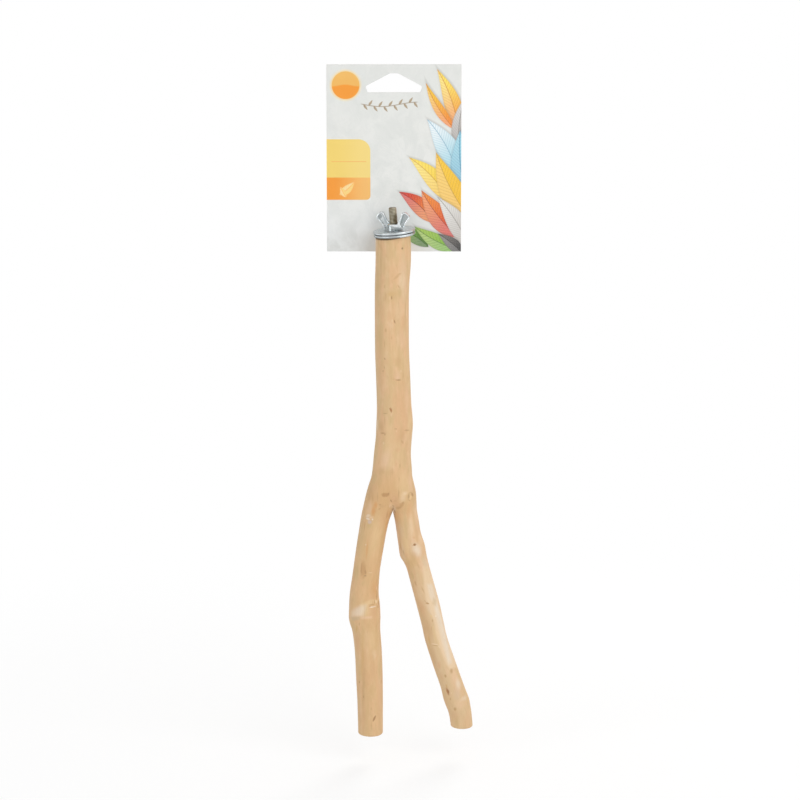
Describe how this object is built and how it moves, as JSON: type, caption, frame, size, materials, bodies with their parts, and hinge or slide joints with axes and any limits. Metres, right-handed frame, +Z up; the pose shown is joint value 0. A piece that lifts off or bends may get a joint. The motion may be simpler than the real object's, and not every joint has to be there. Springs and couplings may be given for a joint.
{
  "type": "bird perch",
  "caption": "Forked natural-wood cage perch with a clamp bolt, washers and wing nut at its end, and a hang card with a delta hole.",
  "frame": {"origin": "where the bolt's axis leaves the sawn top of the stick, which is the clamp plane", "axes": "+Z up along the stick's length towards the hang hole, +X to the viewer's right, +Y backwards to the card; the bolt leans 4.5 degrees towards -X"},
  "size_m": [0.1064, 0.0311, 0.4922],
  "materials": {
    "debarked_wood": "dry sanded, debarked natural wood with small knots",
    "bolt_steel": "dull olive-grey zinc on a rolled thread",
    "zinc_plate": "bright bluish zinc plate",
    "card_board": "printed card, pale grey, satin"
  },
  "bodies": {
    "root": {"branch": "debarked_wood", "hanger_bolt": "bolt_steel", "inner_washer": "zinc_plate", "hang_card": "card_board"},
    "outer_washer": {"outer_washer": "zinc_plate"},
    "wing_nut": {"wing_nut": "zinc_plate"}
  },
  "joints": [
    {"name": "washer_lift", "type": "slide", "parent": "root", "child": "outer_washer", "axis": [-0.0785, 0, 0.9969], "range_m": [0, 0.015]},
    {"name": "nut_spin", "type": "hinge", "parent": "outer_washer", "child": "wing_nut", "pos_m": [0, 0, 0], "axis": [-0.0785, 0, 0.9969], "range_deg": [0, 5400]}
  ],
  "couplings": [
    {"joint": "washer_lift", "follows": "nut_spin", "m_per_rad": 0.00015915}
  ]
}
